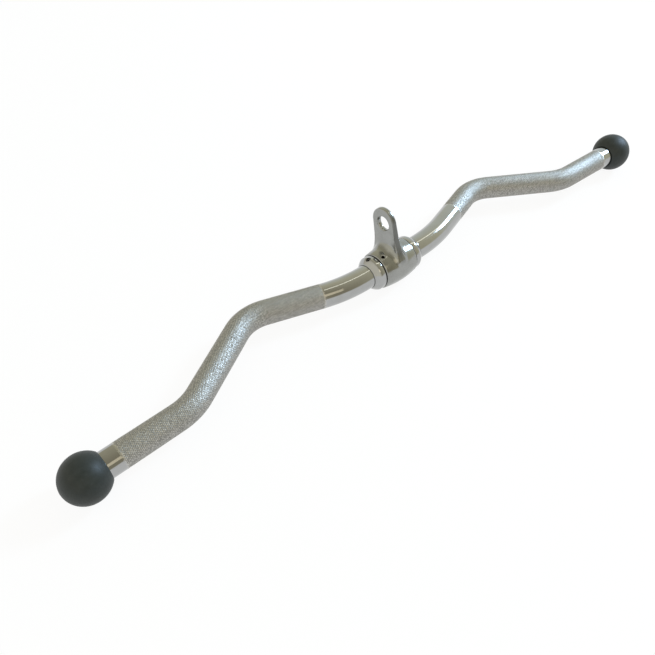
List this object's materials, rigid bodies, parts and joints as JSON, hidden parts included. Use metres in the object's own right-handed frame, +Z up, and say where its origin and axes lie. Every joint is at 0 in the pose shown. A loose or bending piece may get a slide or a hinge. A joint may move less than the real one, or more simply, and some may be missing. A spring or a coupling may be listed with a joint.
{
  "type": "triceps cable bar",
  "caption": "Bent knurled steel bar for cable triceps work, with rubber balls on its ends and a cast swivel hanger with a clip eye held between set collars.",
  "frame": {"origin": "middle of the part's box, on the level that the two rubber balls stand on", "axes": "+X along the bar toward its right end, +Y toward the crests of the hand grips, +Z up, the side that the hanger's lug stands on"},
  "size_m": [0.77, 0.0922, 0.0845],
  "materials": {
    "bar_chrome": "bright chrome plate, knurled hand grips",
    "hanger_chrome": "chrome plate over a slightly uneven casting",
    "collar_chrome": "bright chrome plate",
    "ball_rubber": "satin moulded rubber",
    "bush_bronze": "oiled sintered bronze",
    "washer_nylon": "black nylon",
    "screw_steel": "black oxide"
  },
  "bodies": {
    "bar": {"bent_bar": "bar_chrome", "ball_end_left": "ball_rubber", "ball_end_right": "ball_rubber", "thrust_washer_left": "washer_nylon", "thrust_washer_right": "washer_nylon", "set_collar_left": "collar_chrome", "set_collar_right": "collar_chrome", "set_screw_left": "screw_steel", "set_screw_right": "screw_steel"},
    "hanger": {"swivel_hanger": "hanger_chrome", "bush_left": "bush_bronze", "bush_right": "bush_bronze"}
  },
  "joints": [
    {"name": "hanger_swivel", "type": "hinge", "parent": "bar", "child": "hanger", "pos_m": [0, 0.00489, 0.022], "axis": [1, 0, 0], "continuous": true}
  ]
}
